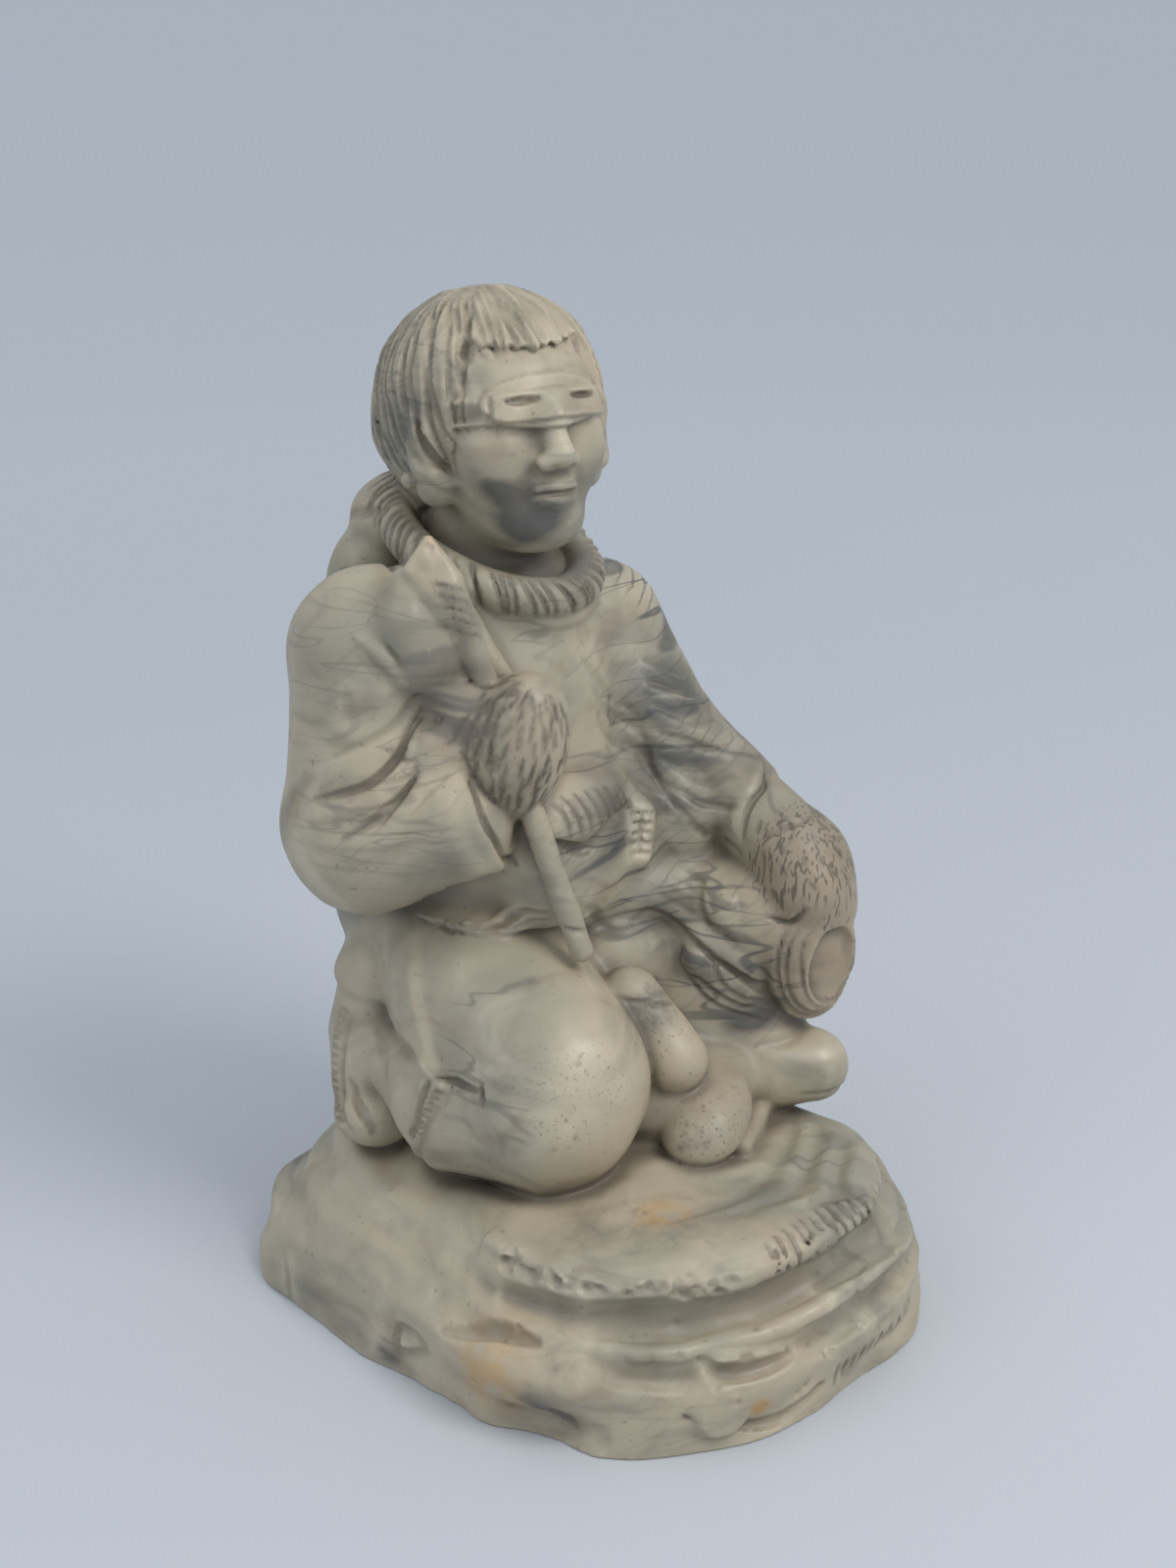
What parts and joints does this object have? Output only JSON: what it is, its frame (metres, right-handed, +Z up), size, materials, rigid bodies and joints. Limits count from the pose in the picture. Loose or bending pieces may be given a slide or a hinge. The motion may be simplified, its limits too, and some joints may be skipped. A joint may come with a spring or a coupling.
{
  "type": "soapstone hunter sculpture",
  "caption": "Kneeling hunter in a hooded parka and snow goggles, with harpoon and rope coil, carved from one block of soapstone with its rock base.",
  "frame": {"origin": "middle of the underside: centre of the bounding box in plan, at the flat face it stands on", "axes": "+Z up; the hunter faces -Y, with the hunter's right hand on the -X side"},
  "size_m": [0.1598, 0.2036, 0.2941],
  "materials": {
    "soapstone": "hand-polished, satin, with grey-blue and charcoal veins"
  },
  "bodies": {
    "root": {"hunter": "soapstone"}
  },
  "joints": []
}
